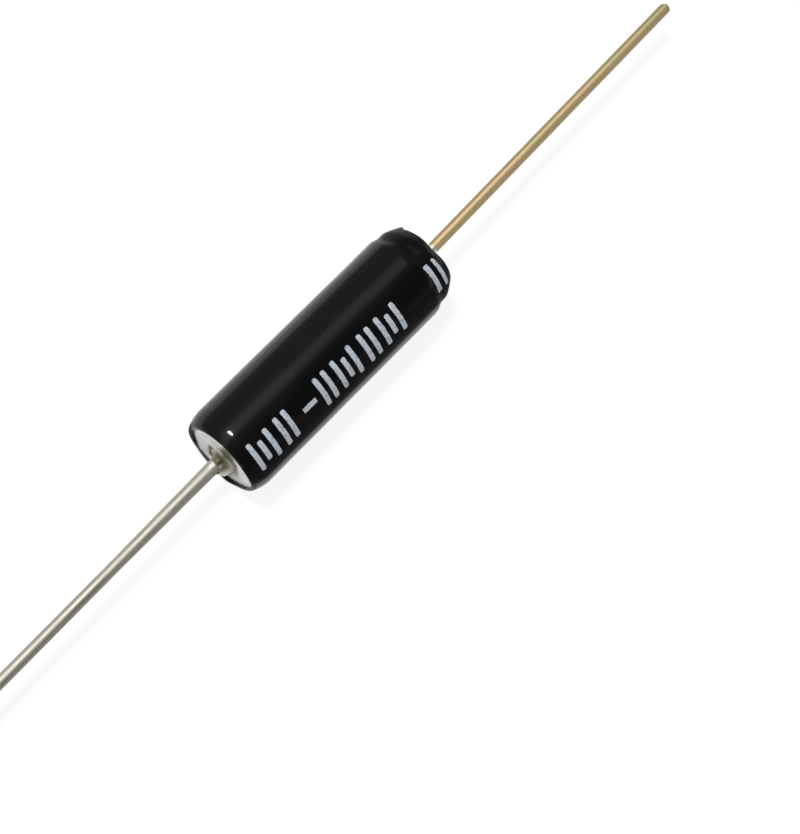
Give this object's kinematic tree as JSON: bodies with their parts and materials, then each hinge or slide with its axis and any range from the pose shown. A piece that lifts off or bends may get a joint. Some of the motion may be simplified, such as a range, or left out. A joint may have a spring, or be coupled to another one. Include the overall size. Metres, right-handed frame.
{
  "type": "tilt switch",
  "caption": "Axial tilt switch: a sleeved metal can with rolling balls that meet a contact pin when it tips, and a wire lead on each end.",
  "frame": {"origin": "on the axis, in the middle of the sleeve, which is also the middle of the whole switch with its leads", "axes": "+X runs along the axis to the tip of the contact pin's lead; the balls lie towards -Z"},
  "size_m": [0.0452, 0.004, 0.004],
  "materials": {
    "sleeve": "glossy black shrink tube",
    "can_plating": "bright plated",
    "tinned_wire": "drawn and tinned",
    "weld_metal": "bright weld metal",
    "plug_plastic": "moulded black",
    "gold_plating": "thin gold plating",
    "ball_plating": "polished gold plating"
  },
  "bodies": {
    "housing": {"outer_sleeve": "sleeve", "can": "can_plating", "silver_lead": "tinned_wire", "weld_fillet": "weld_metal", "insulator_plug": "plug_plastic", "gold_lead": "gold_plating"},
    "front_ball": {"front_ball": "ball_plating"},
    "rear_ball": {"rear_ball": "ball_plating"}
  },
  "joints": [
    {"name": "front_ball_roll", "type": "slide", "parent": "housing", "child": "front_ball", "axis": [1, 0, 0], "range_m": [0, 0.00271]},
    {"name": "rear_ball_roll", "type": "slide", "parent": "housing", "child": "rear_ball", "axis": [1, 0, 0], "range_m": [0, 0.00271]}
  ],
  "couplings": [
    {"joint": "rear_ball_roll", "follows": "front_ball_roll", "ratio": 1}
  ]
}
